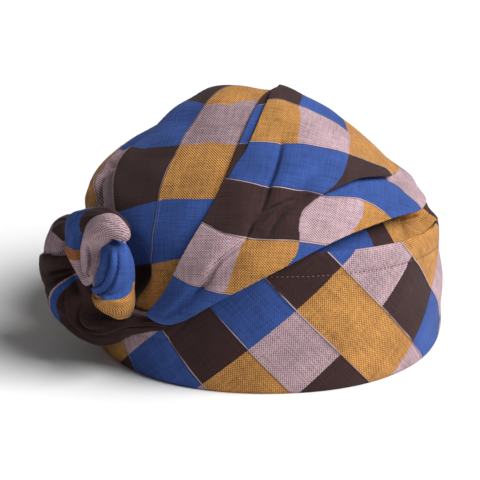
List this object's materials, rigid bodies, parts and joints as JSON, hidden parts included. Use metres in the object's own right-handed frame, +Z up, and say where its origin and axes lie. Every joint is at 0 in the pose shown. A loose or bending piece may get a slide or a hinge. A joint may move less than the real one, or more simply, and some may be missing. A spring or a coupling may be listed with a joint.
{
  "type": "knotted turban hat",
  "caption": "Soft turban hat of checked cotton with a deep band, a draped crown, a wrap gathered across the front and a twisted side knot, open below for the head.",
  "frame": {"origin": "on the surface that the hat stands on, under the middle of the whole hat's box", "axes": "+Z up, -Y to the front, +X to the right of the picture, so the knot is at -X and -Y"},
  "size_m": [0.2042, 0.1952, 0.1256],
  "materials": {
    "band_cloth": "checked cotton twill, matt",
    "crown_cloth": "checked cotton twill, matt",
    "wrap_cloth": "checked cotton twill, matt",
    "knot_cloth": "checked cotton twill, matt"
  },
  "bodies": {
    "root": {"band": "band_cloth", "crown": "crown_cloth", "front_wrap": "wrap_cloth", "knot_end": "knot_cloth", "knot_loop": "knot_cloth", "knot_wrap": "knot_cloth", "knot_coil": "knot_cloth"}
  },
  "joints": []
}
